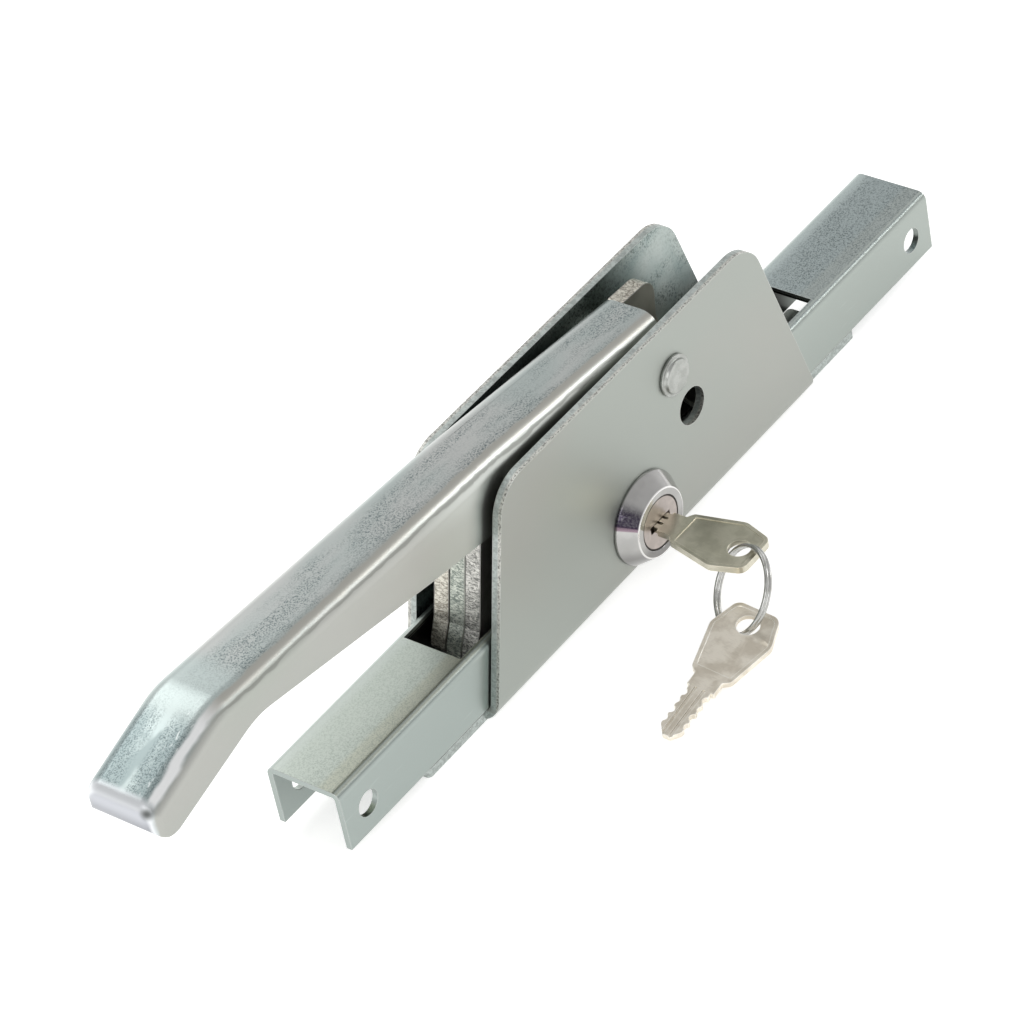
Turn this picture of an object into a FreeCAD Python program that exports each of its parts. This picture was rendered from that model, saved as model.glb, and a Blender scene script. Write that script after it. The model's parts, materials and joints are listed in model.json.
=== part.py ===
"""Lever lock with two opposite sliding channels, a pressed lever handle and a cam cylinder.

Millimetres.  X runs along the channels, the front cheek with the cylinder faces -Y, +Z is up.
The origin is the middle of the underside of the casing's base.
Lifting the handle by SWING draws both channels towards the middle by TRAVEL.
"""
import FreeCAD, Part
import math
import os

V = FreeCAD.Vector
os.makedirs("parts", exist_ok=True)

# casing: one sheet, base strip and two cheeks
SHEET = 3.0                 # casing sheet
CASE_WIDTH = 33.0           # over both cheeks
BEND_IN = 2.5               # inside radius between base and cheek
BEND_OUT = 7.0              # outside radius; the pressed bend is thinner than the sheet
CHEEK_TOP = 72.0            # height of the cheeks
CHEEK_FOOT = 82.2           # half length of a cheek at the bottom
CHEEK_SLOPE = 0.29          # the ends lean in by this much per mm of height
CHEEK_ROUND = 13.0          # upper corners
STRIP_OUT = 26.8            # the base strip reaches this far past a cheek's foot
STRIP_WIDTH = 24.0
STRIP_ROUND = 1.5

# sliding channels
CH_SIDE = 0.5               # play between a channel and a cheek
CH_HEIGHT = 21.0
CH_SHEET = 2.0
CH_BEND = 2.8               # outside radius
CH_LIFT = 1.35              # gap under the channels, which clears the casing's bends
LEFT_WEB = 60.0             # length of the closed web
RIGHT_WEB = 59.5
LEFT_WEB_OUT = 2.8          # the web starts this far outside a cheek's foot
RIGHT_WEB_OUT = 10.8
LEFT_LEG = 6.5              # the legs reach this far past the drive plate's foot
RIGHT_LEG = 18.0
ROD_HOLE = 8.2              # hole across both legs for the rod
ROD_HOLE_IN = 10.2          # from the channel's end
ROD_HOLE_Z = 13.7

# motion
PIVOT_X = 17.8
PIVOT_Z = 54.2
SWING = 90.0                # degrees of the handle
TRAVEL = 24.0               # each channel, for the whole swing

# pivot
PIVOT_D = 10.0
PIVOT_HEAD_D = 13.2
PIVOT_HEAD_H = 2.0
PIVOT_STEP = 0.7            # rim step of the head
RUN_GAP = 0.05              # radial gap of a turning fit
SLEEVE_D = 12.6
RIVET_SLEEVE_D = 10.0
WASHER_D = 20.0
SIDE_GAP = 0.15             # beside washers

# plate pack
PLATE_GAP = 0.2             # between two plates
CORE_SIDE = 0.2             # between a core plate and the handle's wall
EDGE_INSET = 1.5            # from the cheek's end to the pack's end
FOOT_LEVEL = 25.0           # the pack flares out below this level
FLARE_LEVEL = 19.5
CORE_FOOT_Z = 15.0
DRIVE_FOOT_Z = 5.5
CORE_FOOT = 36.2            # length of the core plates' foot, from the cheek's corner
PACK_DROP = 11.0            # from the handle's knee to the pack's upper left corner
PLATE_ROUND = 4.0           # usual corner of a plate
FOOT_ROUND = 6.0            # where a foot meets a plate's lower edge
HEEL_ROUND = 3.0            # lower corners of the feet
TIGHT_ROUND = 2.0
CAM_WALL = 4.2              # metal beside the cam slot
NOTCH_LEFT = 6.4            # the front plate's notch round the cylinder, from the lock's axis
NOTCH_RISE = 19.7
NOTCH_ROUND = 8.0
LEFT_FOOT = 30.7            # length of the left drive plate's foot, from the cheek's corner
LUG_END = 38.8
LUG_DROP = 1.3              # from the handle's crest to the lug's top
LUG_START = 23.0
LUG_ROUND = 5.0
LUG_EDGE = 1.0              # rounding of the lug's inner corner
LUG_SLOPE = 0.8             # the lug's top falls by this much
LUG_WAIST = (19.2, 1.0)     # narrowest place of the right edge, from the pivot
CRANK_BULGE = (23.5, -10.0)  # the right edge swells past the crank pin, from the pivot
REAR_LOW = (20.0, -28.0)    # lower right corner of the rear core plate, from the pivot
EYE_SIDE = 7.0              # front plate: from the crank pin to the right edge
EYE_HALF = 8.0              # and half the height of the eye round the pin
EYE_NECK = 12.0             # the eye ends this far left of the pin
EYE_ROUND = 7.0
CREST_END = 1.0             # the front plate's top ends this far inside the handle

# followers and pins
PIN_D = 7.0
PIN_GAP = 0.15              # radial gap of the left follower in the cam slot
YOKE_GAP = 0.6              # side gap of the crank pin, for the uneven part of its arc
PRONG = 4.5                 # width of the fork's prongs
FOLLOW_LEFT = 52.0          # left follower, from the pivot
FOLLOW_DROP = 10.0
CRANK_R = TRAVEL / (2 * math.sin(math.radians(SWING / 2)))
ARM_HALF = 6.2              # half width of the left arm
ARM_ROUND = 5.0
CROSS_D = 7.0
CROSS_Z = 9.2
CROSS_PITCH = 12.5          # between the two cross pins of a channel
LEFT_CROSS_IN = 6.0         # from the foot's inner end to the first pin
RIGHT_CROSS_IN = 9.0
RIVET_D = 6.0
RIVET_HEAD_D = 9.0
RIVET_HEAD_H = 1.2
INNER_RIVET = (-31.8, 6.3)  # from the pivot
OUTER_RIVET_RISE = 8.8      # it sits over the end of the core plates' foot

# handle
H_SHEET = 2.0
H_PAST = 4.7                # the open end lies this far past the pivot
H_SIDE = 3.0                # from a cheek to the handle's open end
FLARE = 2.3                 # the tip is wider by this much on each side
H_OVER = 16.8               # from the pivot up to the crest at the open end
KNEE_X, KNEE_RISE = -60.0, 8.0
BEND_X, BEND_RISE = -178.0, 6.2
TIP_X, TIP_FALL = -209.5, 10.8
TIP_DEPTH = 13.9            # of the end wall, down to the line of the lower edge
TIP_CORNER = 7.0            # rounding of the wall's lower corner, seen from the side
H_BELOW = 12.1              # from the pivot down to the lower edge at the open end
UNDER_KNEE_X, UNDER_KNEE_RISE = -88.0, 16.7
UNDER_BEND_X, UNDER_BEND_RISE = -165.0, 13.7
SHOULDER = 6.0              # outside radius of the shoulders
TIP_ROUND = 4.5             # outside radius over and beside the tip
KNEE_BEND = 400.0
GRIP_BEND = 25.0
CREST_GAP = 0.7             # from the plates to the start of the shoulder inside

# cylinder lock
LOCK_X = -5.6
LOCK_Z = 18.3
ROSETTE_WIDER = 10.5        # over the housing's diameter
RIM_WIDER = 2.8             # the rosette's rim, over the housing's diameter
ROSETTE_H = 6.1
HOUSING_D = 19.0
PLUG_HEAD_STEP = 2.0        # the plug's head is this much smaller than the housing
PLUG_STEP = 5.0             # and the plug behind it by this much
PLUG_FACE = 0.3             # the plug's face lies this far inside the rosette's rim
ROSETTE_FOOT = 0.8          # straight edge at the rosette's base
HOUSING_SEAT = 1.5          # the housing reaches this far into the rosette
PLUG_BOSS_D = 9.0
HOUSING_BACK = 0.5          # from the housing's rear to the drive plates
NUT_WIDER = 3.0             # the nut's flats, over the housing's diameter
NUT_H = 4.0
ACCESS_D = 12.0             # assembly hole over the crank pin's path
ACCESS_X = 23.6
KEYWAY_W, KEYWAY_H = 9.6, 2.5
CAM_LENGTH = 11.0
CAM_HUB_D = 11.0
CAM_TIP_D = 7.0
SCREW_HEAD_D = 8.0
SCREW_SIDE = 0.7            # from the screw's head to the rear of the drive plates
SCREW_D = 4.0
TOOTH = 9.8                 # length of the locking tooth
TOOTH_GAP = 0.9             # from the raised cam to the tooth
TOOTH_RISE = 7.3            # from the lock's axis to the tooth's lower end
TOOTH_ROUND = 1.5
ARM_DROP = 12.2             # from the crank pin to the underside of the locking arm
ARM_DEPTH = 6.0
ARM_PAST = 4.0              # the arm turns down this far right of the crank pin
YOKE_FOOT = 28.0            # length of the right drive plate's foot
YOKE_INSET = 2.2            # from the cheek's corner to the foot's end
YOKE_HEEL_Z = 20.2
YOKE_BACK = 5.0             # the back edge starts this far in from the foot, and this far above its heel
YOKE_ROUND = 5.0
BACK_ROUND = 10.0
FORK_LEVEL = 1.0            # the back edge meets the fork this far under the crank pin

# keys and ring
KEY_THICK = 2.2
BOW_HALF = 10.2
BOW_BACK_HALF = 7.0
BOW_NECK_HALF = 6.5
BOW_BACK = 6.2              # from the hole to the back edge
BOW_FRONT = 20.0            # from the hole to the neck
KEY_HOLE_D = 7.0
NECK_HALF = 4.4
NECK_END = 26.0
BLADE_HALF = 3.5
KEY_OUT = 7.9               # from the plug's face to the bow, when the key is in
TIP_BACK = 2.5              # from the key's tip to the rear of the housing
GROOVE = 0.5                # half width and depth of the two grooves in the blade
GROOVE_OFF = 1.3            # from the blade's middle to a groove's middle
BORDER = 1.2                # raised border round the key's bow
BORDER_H = 0.25
CUT_PITCH = 3.4             # between the cuts in the blade's edges
CUT_R = 1.4
CUTS = (0.9, 0.5, 1.1, 0.7)  # depth of each pair of cuts
RING_R = 12.9               # middle of the wire
WIRE_R = 0.65
TURN_PITCH = 1.1            # between the two turns of the split ring
RING_LEFT, RING_OUT, RING_DROP = 8.4, 5.75, 6.3     # middle of the ring, from the key's hole
RING_AXIS = V(-0.693, 0.445, 0.567)
SPARE_LEFT, SPARE_OUT, SPARE_DROP = 16.3, 12.4, 11.3    # hole of the spare key, from the key's hole
SPARE_TURN = 181.7          # heading of the spare key's tip, degrees from +X
SPARE_TILT = 6.4            # the tip hangs down by this angle
SPARE_ROLL = -8.3           # twist about the spare key's length

CHEEK_OUT = CASE_WIDTH / 2
CHEEK_IN = CHEEK_OUT - SHEET
CH_WIDTH = 2 * (CHEEK_IN - CH_SIDE)
H_HALF = CHEEK_IN - H_SIDE                  # half width of the handle at the open end
TIP_HALF = H_HALF + FLARE
PLATE = (H_HALF - H_SHEET - CORE_SIDE - PLATE_GAP) / 1.5    # one and a half plates from the middle
PLATE_HALF = PLATE / 2
CORE_IN = PLATE_HALF + PLATE_GAP
CORE_OUT = CORE_IN + PLATE
LEAD = TRAVEL / math.radians(SWING)     # channel travel per radian
H_END = PIVOT_X + H_PAST
H_TOP = PIVOT_Z + H_OVER
KNEE_Z = H_TOP + KNEE_RISE
BEND_Z = KNEE_Z + BEND_RISE
TIP_Z = BEND_Z - TIP_FALL
H_UNDER = PIVOT_Z - H_BELOW
UNDER_KNEE_Z = H_UNDER + UNDER_KNEE_RISE
UNDER_BEND_Z = UNDER_KNEE_Z + UNDER_BEND_RISE
CRANK_X = PIVOT_X + CRANK_R * math.sin(math.radians(SWING / 2))
CRANK_Z = PIVOT_Z - CRANK_R * math.cos(math.radians(SWING / 2))
OUTER_RIVET = (CORE_FOOT - CHEEK_FOOT - PIVOT_X, OUTER_RIVET_RISE)
FOLLOW_X = PIVOT_X - FOLLOW_LEFT
FOLLOW_Z = PIVOT_Z - FOLLOW_DROP
LEFT_BODY_END = LEFT_FOOT - CHEEK_FOOT      # inner ends of the feet
RIGHT_BODY_END = CHEEK_FOOT - YOKE_INSET - YOKE_FOOT
LEFT_CROSS = (LEFT_BODY_END - LEFT_CROSS_IN - CROSS_PITCH, LEFT_BODY_END - LEFT_CROSS_IN)
RIGHT_CROSS = (RIGHT_BODY_END + RIGHT_CROSS_IN, RIGHT_BODY_END + RIGHT_CROSS_IN + CROSS_PITCH)
LEFT_WEB_CUT = -CHEEK_FOOT - LEFT_WEB_OUT
RIGHT_WEB_CUT = CHEEK_FOOT + RIGHT_WEB_OUT
ROSETTE_D = HOUSING_D + ROSETTE_WIDER
ROSETTE_RIM_D = HOUSING_D + RIM_WIDER
PLUG_HEAD_D = HOUSING_D - PLUG_HEAD_STEP
PLUG_D = HOUSING_D - PLUG_STEP
NUT_FLATS = HOUSING_D + NUT_WIDER
HOUSING_FRONT = -CHEEK_OUT - HOUSING_SEAT
HOUSING_REAR = -PLATE_HALF - HOUSING_BACK
PLUG_FRONT = -CHEEK_OUT - ROSETTE_H + PLUG_FACE
CAM_FRONT = -PLATE_HALF + 2 * RUN_GAP
CAM_THICK = -CAM_FRONT                      # the cam's rear lies in the middle of the lock
SCREW_HEAD_H = PLATE_HALF - SCREW_SIDE
KEY_HOLE_Y = PLUG_FRONT - KEY_OUT - BOW_FRONT
KEY_TIP = HOUSING_REAR - TIP_BACK - KEY_HOLE_Y
KEY_HOLE = V(LOCK_X, KEY_HOLE_Y, LOCK_Z)


def save(shape, name):
    shape.exportStep("parts/" + name + ".step")


def box(x0, x1, y0, y1, z0, z1):
    return Part.makeBox(x1 - x0, y1 - y0, z1 - z0, V(x0, y0, z0))


def rod(x, z, d, y0, y1):
    """Round bar along Y."""
    return Part.makeCylinder(d / 2, y1 - y0, V(x, y0, z), V(0, 1, 0))


def rounded(corners, place):
    """Closed face through (a, b, radius) corners; place turns (a, b) into a point."""
    starts, ends, edges = [], [], []
    count = len(corners)
    for i, (a, b, r) in enumerate(corners):
        pa, pb, _ = corners[i - 1]
        na, nb, _ = corners[(i + 1) % count]
        into = V(a - pa, b - pb, 0).normalize()
        out = V(na - a, nb - b, 0).normalize()
        turn = into.getAngle(out)
        if r == 0 or turn < 1e-6:
            starts.append(V(a, b, 0))
            ends.append(V(a, b, 0))
            continue
        back = r * math.tan(turn / 2)
        start = V(a, b, 0) - into * back
        end = V(a, b, 0) + out * back
        side = out - into
        middle = V(a, b, 0) + side.normalize() * (r / math.cos(turn / 2) - r)
        edges.append((i, Part.Arc(place(*start[:2]), place(*middle[:2]), place(*end[:2])).toShape()))
        starts.append(start)
        ends.append(end)
    arcs = dict(edges)
    loop = []
    for i in range(count):
        if i in arcs:
            loop.append(arcs[i])
        p, q = ends[i], starts[(i + 1) % count]
        if p.distanceToPoint(q) > 1e-6:
            loop.append(Part.LineSegment(place(*p[:2]), place(*q[:2])).toShape())
    return Part.Face(Part.Wire(loop))


def from_pivot(offset):
    """X and Z of a place given from the pivot's axis."""
    return PIVOT_X + offset[0], PIVOT_Z + offset[1]


def side_prism(corners, y0, y1):
    """Plate whose outline lies in the XZ plane."""
    face = rounded(corners, lambda x, z: V(x, y0, z))
    return face.extrude(V(0, y1 - y0, 0))


def plan_prism(corners, z0, z1):
    """Plate whose outline lies in the XY plane."""
    face = rounded(corners, lambda x, y: V(x, y, z0))
    return face.extrude(V(0, 0, z1 - z0))


def is_long_edge(edge, y, z):
    """True for the edge along X at height z, at the distance y from the middle."""
    reach = edge.BoundBox
    level = reach.ZLength < 1e-6 and abs(reach.ZMin - z) < 1e-6
    return level and reach.XLength > CH_WIDTH and abs(abs(reach.YMin) - y) < 1e-6


def cheek_end(z):
    """Distance of a cheek's end from the middle at height z."""
    return CHEEK_FOOT - CHEEK_SLOPE * z


def casing():
    outer = box(-CHEEK_FOOT, CHEEK_FOOT, -CHEEK_OUT, CHEEK_OUT, 0, CHEEK_TOP)
    inner = box(-CHEEK_FOOT, CHEEK_FOOT, -CHEEK_IN, CHEEK_IN, SHEET, CHEEK_TOP)
    lower_outer = [e for e in outer.Edges if is_long_edge(e, CHEEK_OUT, 0)]
    lower_inner = [e for e in inner.Edges if is_long_edge(e, CHEEK_IN, SHEET)]
    trough = outer.makeFillet(BEND_OUT, lower_outer).cut(inner.makeFillet(BEND_IN, lower_inner))
    foot, top = cheek_end(0), cheek_end(CHEEK_TOP)
    outline = [(-foot, 0, 0), (foot, 0, 0),
               (top, CHEEK_TOP, CHEEK_ROUND), (-top, CHEEK_TOP, CHEEK_ROUND)]
    trough = trough.common(side_prism(outline, -CHEEK_OUT, CHEEK_OUT))
    half_l, half_w = CHEEK_FOOT + STRIP_OUT, STRIP_WIDTH / 2
    strip = plan_prism([(-half_l, -half_w, STRIP_ROUND), (half_l, -half_w, STRIP_ROUND),
                        (half_l, half_w, STRIP_ROUND), (-half_l, half_w, STRIP_ROUND)], 0, SHEET)
    body = trough.fuse(strip)
    body = body.cut(rod(PIVOT_X, PIVOT_Z, PIVOT_D, -CHEEK_OUT, CHEEK_OUT))
    body = body.cut(rod(LOCK_X, LOCK_Z, HOUSING_D + 2 * RUN_GAP, -CHEEK_OUT - 1, -CHEEK_IN + 1))
    body = body.cut(rod(ACCESS_X, PIVOT_Z - access_drop(), ACCESS_D, -CHEEK_OUT, -CHEEK_IN))
    return body.removeSplitter()


def access_drop():
    """How far the assembly hole lies under the pivot, on the crank pin's circle."""
    return math.sqrt(CRANK_R ** 2 - (ACCESS_X - PIVOT_X) ** 2)


def channel(web_cut, web, leg_end):
    """Inverted U with a rod hole across the legs; the web is cut away from web_cut to leg_end."""
    inward = 1 if leg_end > web_cut else -1
    end = web_cut - inward * web
    low, high = sorted((end, leg_end))
    z0 = SHEET + CH_LIFT
    z1 = z0 + CH_HEIGHT
    half = CH_WIDTH / 2
    outer = box(low, high, -half, half, z0, z1)
    inner = box(low, high, -half + CH_SHEET, half - CH_SHEET, z0, z1 - CH_SHEET)
    outer_bends = [e for e in outer.Edges if is_long_edge(e, half, z1)]
    inner_bends = [e for e in inner.Edges if is_long_edge(e, half - CH_SHEET, z1 - CH_SHEET)]
    outer = outer.makeFillet(CH_BEND, outer_bends)
    inner = inner.makeFillet(CH_BEND - CH_SHEET, inner_bends)
    body = outer.cut(inner)
    window_low, window_high = sorted((web_cut, leg_end))
    gap = half - CH_BEND
    body = body.cut(box(window_low, window_high, -gap, gap, z1 - CH_SHEET, z1))
    return body.cut(rod(end + inward * ROD_HOLE_IN, ROD_HOLE_Z, ROD_HOLE, -half, half))


def cross_drill(body, places):
    for x in places:
        body = body.cut(rod(x, CROSS_Z, CROSS_D, -CH_WIDTH, CH_WIDTH))
    return body


def handle_half(x):
    """Half width of the handle's outer skin at x."""
    return H_HALF + (TIP_HALF - H_HALF) * (H_END - x) / (H_END - TIP_X)


def crest_z(x):
    """Height of the handle's crest at x, before its bends are rounded."""
    if x > KNEE_X:
        return H_TOP + (KNEE_Z - H_TOP) * (H_END - x) / (H_END - KNEE_X)
    if x > BEND_X:
        return KNEE_Z + (BEND_Z - KNEE_Z) * (KNEE_X - x) / (KNEE_X - BEND_X)
    return BEND_Z + (TIP_Z - BEND_Z) * (BEND_X - x) / (BEND_X - TIP_X)


def handle_side(inset, drop, corner):
    """Outline of the pressed form from the side, moved inwards by inset and opened downwards by drop."""
    tip = TIP_X + inset
    end = H_END + inset
    crest = [(end, H_TOP - inset, 0), (KNEE_X, KNEE_Z - inset, KNEE_BEND),
             (BEND_X, BEND_Z - inset, GRIP_BEND), (tip, TIP_Z - inset, 0)]
    under = [(tip, TIP_Z - TIP_DEPTH - drop, corner), (UNDER_BEND_X, UNDER_BEND_Z - drop, GRIP_BEND),
             (UNDER_KNEE_X, UNDER_KNEE_Z - drop, KNEE_BEND), (end, H_UNDER - drop, 0)]
    return crest + under


def handle_skin(inset, drop):
    """Solid pressed form with rounded shoulders and tip, moved inwards by inset."""
    tip = TIP_X + inset
    end = H_END + inset
    plan = [(end, -H_HALF + inset, 0), (tip, -TIP_HALF + inset, 0),
            (tip, TIP_HALF - inset, 0), (end, H_HALF - inset, 0)]
    side = side_prism(handle_side(inset, drop, 0), -CASE_WIDTH, CASE_WIDTH)
    solid = side.common(plan_prism(plan, -CHEEK_TOP, 2 * CHEEK_TOP))
    solid = solid.makeFillet(SHOULDER - inset, [e for e in solid.Edges if is_shoulder(e, inset)])
    return solid.makeFillet(TIP_ROUND - inset, [e for e in solid.Edges if is_tip_edge(e, tip, inset)])


def is_tip_edge(edge, tip, inset):
    """True for the edges over and beside the tip."""
    reach = edge.BoundBox
    at_tip = reach.XLength < 1e-6 and abs(reach.XMin - tip) < 1e-6
    return at_tip and reach.ZMax > TIP_Z - inset - SHOULDER - 1e-3


def is_shoulder(edge, inset):
    """True for the long edges on both sides of the crest."""
    reach = edge.BoundBox
    middle = reach.Center
    high = middle.z > crest_z(middle.x) - inset - SHOULDER / 2
    return reach.XLength > H_SHEET / 2 and abs(middle.y) > H_HALF / 2 and high


def handle():
    """The pressed form hollowed out to the sheet and open below."""
    body = handle_skin(0.0, 0.0).cut(handle_skin(H_SHEET, CHEEK_TOP))
    body = body.common(side_prism(handle_side(0.0, 0.0, TIP_CORNER), -CASE_WIDTH, CASE_WIDTH))
    body = body.cut(rod(PIVOT_X, PIVOT_Z, PIVOT_D + 2 * RUN_GAP, -CASE_WIDTH, CASE_WIDTH))
    for x, z in (from_pivot(INNER_RIVET), from_pivot(OUTER_RIVET)):
        body = body.cut(rod(x, z, RIVET_D, -CASE_WIDTH, CASE_WIDTH))
    return body


def pack_end(z, inset):
    """X of the plate pack's left edge at height z."""
    return -cheek_end(z) + inset


def pack_edge(foot_z, top_z):
    """Corners of the left edge that all three plates share, from the foot up."""
    return [(pack_end(foot_z, 0), foot_z, TIGHT_ROUND),
            (pack_end(FLARE_LEVEL, 0), FLARE_LEVEL, HEEL_ROUND),
            (pack_end(FOOT_LEVEL, EDGE_INSET), FOOT_LEVEL, PLATE_ROUND),
            (pack_end(top_z, EDGE_INSET), top_z, PLATE_ROUND)]


def under_crest(x):
    """Top of the core plates, under the handle's inner shoulders."""
    return crest_z(x) - SHOULDER - CREST_GAP


def cam_point(angle, side):
    """Point of the cam slot's middle line, moved sideways by side, in the plate at rest.

    The follower goes sideways by LEAD per radian while the plate turns under it, so seen
    from the plate it turns back by the same angle.
    """
    t = math.radians(angle)
    x = FOLLOW_X - PIVOT_X + LEAD * t
    z = FOLLOW_Z - PIVOT_Z
    along = V(LEAD * math.cos(t) - x * math.sin(t) - z * math.cos(t), 0,
              LEAD * math.sin(t) + x * math.cos(t) - z * math.sin(t)).normalize()
    middle = V(PIVOT_X + x * math.cos(t) - z * math.sin(t), 0,
               PIVOT_Z + x * math.sin(t) + z * math.cos(t))
    return middle + V(along.z, 0, -along.x) * side


def cam_band(half, y0, y1):
    """Band of the given half width along the cam slot, with round ends."""
    steps = 12
    angles = [SWING * i / steps for i in range(steps + 1)]
    lower, upper = Part.BSplineCurve(), Part.BSplineCurve()
    lower.interpolate([cam_point(a, -half) for a in angles])
    upper.interpolate([cam_point(a, half) for a in angles])
    ends = []
    for angle, way in ((0.0, -1), (SWING, 1)):
        middle = cam_point(angle, 0)
        ahead = (cam_point(angle + way, 0) - middle).normalize()
        end = Part.Arc(cam_point(angle, -half), middle + ahead * half, cam_point(angle, half))
        ends.append(end.toShape())
    wire = Part.Wire(Part.__sortEdges__([lower.toShape(), upper.toShape()] + ends))
    band = Part.Face(wire).extrude(V(0, y1 - y0, 0))
    band.translate(V(0, y0, 0))
    return band


def drill_core(plate):
    """Holes that both core plates have."""
    plate = plate.cut(rod(PIVOT_X, PIVOT_Z, PIVOT_D + 2 * RUN_GAP, -CASE_WIDTH, CASE_WIDTH))
    plate = plate.cut(rod(CRANK_X, CRANK_Z, PIN_D, -CASE_WIDTH, CASE_WIDTH))
    for x, z in (from_pivot(INNER_RIVET), from_pivot(OUTER_RIVET)):
        plate = plate.cut(rod(x, z, RIVET_D, -CASE_WIDTH, CASE_WIDTH))
    return plate


def core_plate_rear():
    """Turns with the handle; carries the cam slot and shows its lug past the handle's end."""
    lug_top = H_TOP - LUG_DROP
    corners = pack_edge(CORE_FOOT_Z, KNEE_Z - PACK_DROP) + [
        (LUG_START, under_crest(H_END), 0), (LUG_START, lug_top, LUG_EDGE),
        (LUG_END, lug_top - LUG_SLOPE, LUG_ROUND), (*from_pivot(LUG_WAIST), LUG_ROUND),
        (*from_pivot(CRANK_BULGE), NOTCH_ROUND), (*from_pivot(REAR_LOW), NOTCH_ROUND),
        (LOCK_X, FOOT_LEVEL, 0), (CORE_FOOT - CHEEK_FOOT, CORE_FOOT_Z, FOOT_ROUND)]
    plate = side_prism(corners, CORE_IN, CORE_OUT)
    plate = plate.fuse(cam_band(PIN_D / 2 + PIN_GAP + CAM_WALL, CORE_IN, CORE_OUT)).removeSplitter()
    plate = plate.cut(cam_band(PIN_D / 2 + PIN_GAP, CORE_IN - 1, CORE_OUT + 1))
    return drill_core(plate)


def core_plate_front():
    """Turns with the handle; cut away below the pivot so that it clears the cylinder."""
    eye_right, eye_top, eye_low = CRANK_X + EYE_SIDE, CRANK_Z + EYE_HALF, CRANK_Z - EYE_HALF
    corners = pack_edge(CORE_FOOT_Z, KNEE_Z - PACK_DROP) + [
        (H_END - CREST_END, under_crest(H_END), PLATE_ROUND), (eye_right, eye_top, EYE_ROUND),
        (eye_right, eye_low, EYE_ROUND), (CRANK_X - EYE_NECK, eye_low, EYE_ROUND),
        (LOCK_X - NOTCH_LEFT, LOCK_Z + NOTCH_RISE, NOTCH_ROUND),
        (CORE_FOOT - CHEEK_FOOT, CORE_FOOT_Z, FOOT_ROUND)]
    return drill_core(side_prism(corners, -CORE_OUT, -CORE_IN))


def left_drive_plate():
    """Slides with the left channel; its arm carries the follower of the cam slot."""
    arm_top, arm_low = FOLLOW_Z + ARM_HALF, FOLLOW_Z - ARM_HALF
    arm_end = FOLLOW_X + ARM_HALF
    corners = pack_edge(DRIVE_FOOT_Z, arm_top) + [
        (arm_end, arm_top, ARM_ROUND), (arm_end, arm_low, ARM_ROUND),
        (LEFT_BODY_END, arm_low, PLATE_ROUND), (LEFT_BODY_END, DRIVE_FOOT_Z, HEEL_ROUND)]
    plate = side_prism(corners, -PLATE_HALF, PLATE_HALF)
    plate = plate.cut(rod(FOLLOW_X, FOLLOW_Z, PIN_D, -PLATE, PLATE))
    return cross_drill(plate, LEFT_CROSS)


def right_drive_plate():
    """Slides with the right channel; a fork for the crank pin and a tooth for the lock cam."""
    slot_half = PIN_D / 2 + YOKE_GAP
    slot_low = PIVOT_Z - CRANK_R
    fork_left = CRANK_X - slot_half - PRONG
    fork_right = CRANK_X + slot_half + PRONG
    fork_top = CRANK_Z + PIN_D / 2 + YOKE_GAP
    tooth_left = LOCK_X + CAM_TIP_D / 2 + TOOTH_GAP
    tooth_right = tooth_left + TOOTH
    tooth_low = LOCK_Z + TOOTH_RISE
    arm_low = CRANK_Z - ARM_DROP
    arm_top = arm_low + ARM_DEPTH
    foot_left = RIGHT_BODY_END
    foot_right = foot_left + YOKE_FOOT
    corners = [
        (tooth_left, tooth_low, TOOTH_ROUND), (tooth_right, tooth_low, TOOTH_ROUND),
        (tooth_right, arm_low, TOOTH_ROUND), (CRANK_X + ARM_PAST, arm_low, PLATE_ROUND),
        (foot_left, DRIVE_FOOT_Z, FOOT_ROUND), (foot_right, DRIVE_FOOT_Z, HEEL_ROUND),
        (foot_right, YOKE_HEEL_Z, YOKE_ROUND),
        (foot_left + YOKE_BACK, YOKE_HEEL_Z + YOKE_BACK, BACK_ROUND),
        (fork_right, CRANK_Z - FORK_LEVEL, YOKE_ROUND), (fork_right, fork_top, TIGHT_ROUND),
        (fork_left, fork_top, TIGHT_ROUND), (fork_left, arm_top, HEEL_ROUND),
        (tooth_left, arm_top, TIGHT_ROUND)]
    plate = side_prism(corners, -PLATE_HALF, PLATE_HALF)
    plate = plate.cut(rod(CRANK_X, slot_low, 2 * slot_half, -PLATE, PLATE))
    plate = plate.cut(box(CRANK_X - slot_half, CRANK_X + slot_half, -PLATE, PLATE, slot_low, PIVOT_Z))
    return cross_drill(plate, RIGHT_CROSS)


def pivot_rivet():
    shank = rod(PIVOT_X, PIVOT_Z, PIVOT_D, -CHEEK_OUT, CHEEK_OUT)
    wide, narrow = PIVOT_HEAD_D / 2 - PIVOT_STEP, PIVOT_HEAD_D / 2 - 2 * PIVOT_STEP
    for way in (-1, 1):
        seat = V(PIVOT_X, way * CHEEK_OUT, PIVOT_Z)
        base = Part.makeCylinder(PIVOT_HEAD_D / 2, PIVOT_HEAD_H / 2, seat, V(0, way, 0))
        cap = Part.makeCone(wide, narrow, PIVOT_HEAD_H, seat, V(0, way, 0))
        shank = shank.fuse(base).fuse(cap)
    return shank.removeSplitter()


def pivot_washer(way):
    """Fills the gap between a cheek and the handle."""
    inner = handle_half(PIVOT_X - WASHER_D / 2) + SIDE_GAP
    y0, y1 = sorted((way * inner, way * (CHEEK_IN - SIDE_GAP)))
    bore = rod(PIVOT_X, PIVOT_Z, PIVOT_D + 2 * SIDE_GAP, y0, y1)
    return rod(PIVOT_X, PIVOT_Z, WASHER_D, y0, y1).cut(bore)


def sleeve(x, z, outside, bore):
    """Spacer between the two core plates."""
    reach = CORE_IN - PLATE_GAP / 2
    return rod(x, z, outside, -reach, reach).cut(rod(x, z, bore, -reach, reach))


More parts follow.
